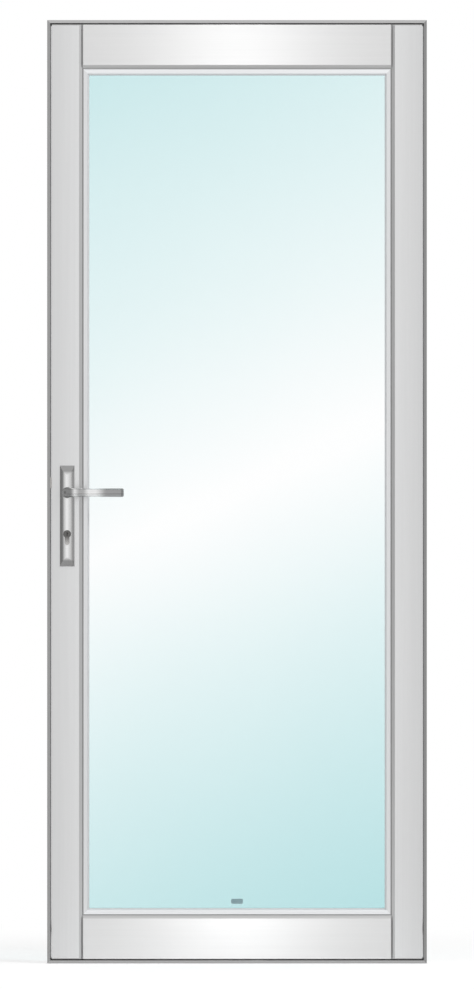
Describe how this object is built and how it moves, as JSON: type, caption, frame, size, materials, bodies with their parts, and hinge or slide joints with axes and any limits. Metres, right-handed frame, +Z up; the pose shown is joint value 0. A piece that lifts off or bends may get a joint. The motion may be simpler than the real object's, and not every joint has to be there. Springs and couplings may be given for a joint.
{
  "type": "aluminium glazed door",
  "caption": "Full-height aluminium framed glass door leaf in a slim surround frame, with lever handles on long plates, mortise lock, profile cylinder and barrel hinges.",
  "frame": {"origin": "on the floor under the middle of the leaf: middle of the width, middle of the leaf's thickness, underside of the sill", "axes": "+X across the doorway towards the hinges, +Y through it to the side that the leaf opens to, +Z up"},
  "size_m": [0.845, 0.1566, 2.1],
  "materials": {
    "frame_aluminium": "satin anodised",
    "leaf_aluminium": "satin anodised, fine lengthwise grain",
    "bead_aluminium": "satin anodised",
    "spacer_aluminium": "mill",
    "cleat_aluminium": "mill",
    "dark_seal": "matt",
    "grey_seal": "matt",
    "sealant": "matt",
    "pane_glass": "clear, pale blue-green",
    "grey_plastic": "matt",
    "dark_plastic": "matt",
    "brushed_stainless": "brushed",
    "plate_stainless": "satin",
    "hinge_steel": "satin",
    "zinc_steel": "zinc plated",
    "nickel": "satin nickel"
  },
  "bodies": {
    "frame": {"frame_jamb_lock": "frame_aluminium", "frame_jamb_hinge": "frame_aluminium", "frame_head": "frame_aluminium", "frame_sill": "frame_aluminium", "frame_seal": "dark_seal", "corner_brackets": "plate_stainless", "corner_bracket_screws": "zinc_steel", "strike_plate": "plate_stainless", "strike_screws": "zinc_steel", "hinge_pins": "hinge_steel", "hinge_frame_screws": "zinc_steel", "hinge_bottom_frame_half": "hinge_steel", "hinge_middle_frame_half": "hinge_steel", "hinge_top_frame_half": "hinge_steel"},
    "leaf": {"leaf_stile_lock": "leaf_aluminium", "leaf_stile_hinge": "leaf_aluminium", "leaf_rail_top": "leaf_aluminium", "leaf_rail_bottom": "leaf_aluminium", "rail_joint_gaskets": "grey_seal", "stile_end_caps": "grey_plastic", "rail_cleats": "cleat_aluminium", "tie_screws": "zinc_steel", "glass_pane_front": "pane_glass", "glass_pane_back": "pane_glass", "glass_spacer": "spacer_aluminium", "glass_edge_seal": "sealant", "glazing_seal_front": "grey_seal", "glazing_seal_back": "grey_seal", "bead_lock_side": "bead_aluminium", "bead_hinge_side": "bead_aluminium", "bead_top": "bead_aluminium", "bead_bottom": "bead_aluminium", "setting_blocks": "dark_plastic", "lock_faceplate": "plate_stainless", "lock_case": "zinc_steel", "faceplate_screws": "zinc_steel", "cylinder_body": "nickel", "cylinder_screw": "zinc_steel", "handle_plate_front": "brushed_stainless", "handle_plate_back": "brushed_stainless", "plate_screws": "zinc_steel", "hinge_bushes": "dark_plastic", "hinge_leaf_screws": "zinc_steel", "hinge_bottom_leaf_half": "hinge_steel", "hinge_middle_leaf_half": "hinge_steel", "hinge_top_leaf_half": "hinge_steel"},
    "handle": {"lever_front": "brushed_stainless", "lever_back": "brushed_stainless", "grub_screws": "zinc_steel", "spindle": "zinc_steel", "follower": "zinc_steel"},
    "latch": {"latch_bolt": "zinc_steel"},
    "deadbolt": {"deadbolt": "zinc_steel"},
    "plug_front": {"plug_front": "nickel", "cylinder_cam": "zinc_steel"},
    "plug_back": {"plug_back": "nickel"}
  },
  "joints": [
    {"name": "leaf_swing", "type": "hinge", "parent": "frame", "child": "leaf", "pos_m": [0.4115, 0.0335, 1.05], "axis": [0, 0, -1], "range_deg": [0, 105]},
    {"name": "handle_turn", "type": "hinge", "parent": "leaf", "child": "handle", "pos_m": [-0.378, 0, 1.048], "axis": [0, 1, 0], "range_deg": [0, 40], "stiffness_Nm_per_rad": 1, "springref_deg": -57.3},
    {"name": "latch_slide", "type": "slide", "parent": "leaf", "child": "latch", "axis": [1, 0, 0], "range_m": [0, 0.011]},
    {"name": "front_key_turn", "type": "hinge", "parent": "leaf", "child": "plug_front", "pos_m": [-0.378, 0, 0.956], "axis": [0, 1, 0], "range_deg": [0, 360]},
    {"name": "deadbolt_throw", "type": "slide", "parent": "leaf", "child": "deadbolt", "axis": [-1, 0, 0], "range_m": [0, 0.014]},
    {"name": "back_key_turn", "type": "hinge", "parent": "leaf", "child": "plug_back", "pos_m": [-0.378, 0, 0.956], "axis": [0, 1, 0], "range_deg": [0, 360]}
  ],
  "couplings": [
    {"joint": "latch_slide", "follows": "handle_turn", "m_per_rad": 0.01575},
    {"joint": "deadbolt_throw", "follows": "front_key_turn", "m_per_rad": 0.002228}
  ]
}
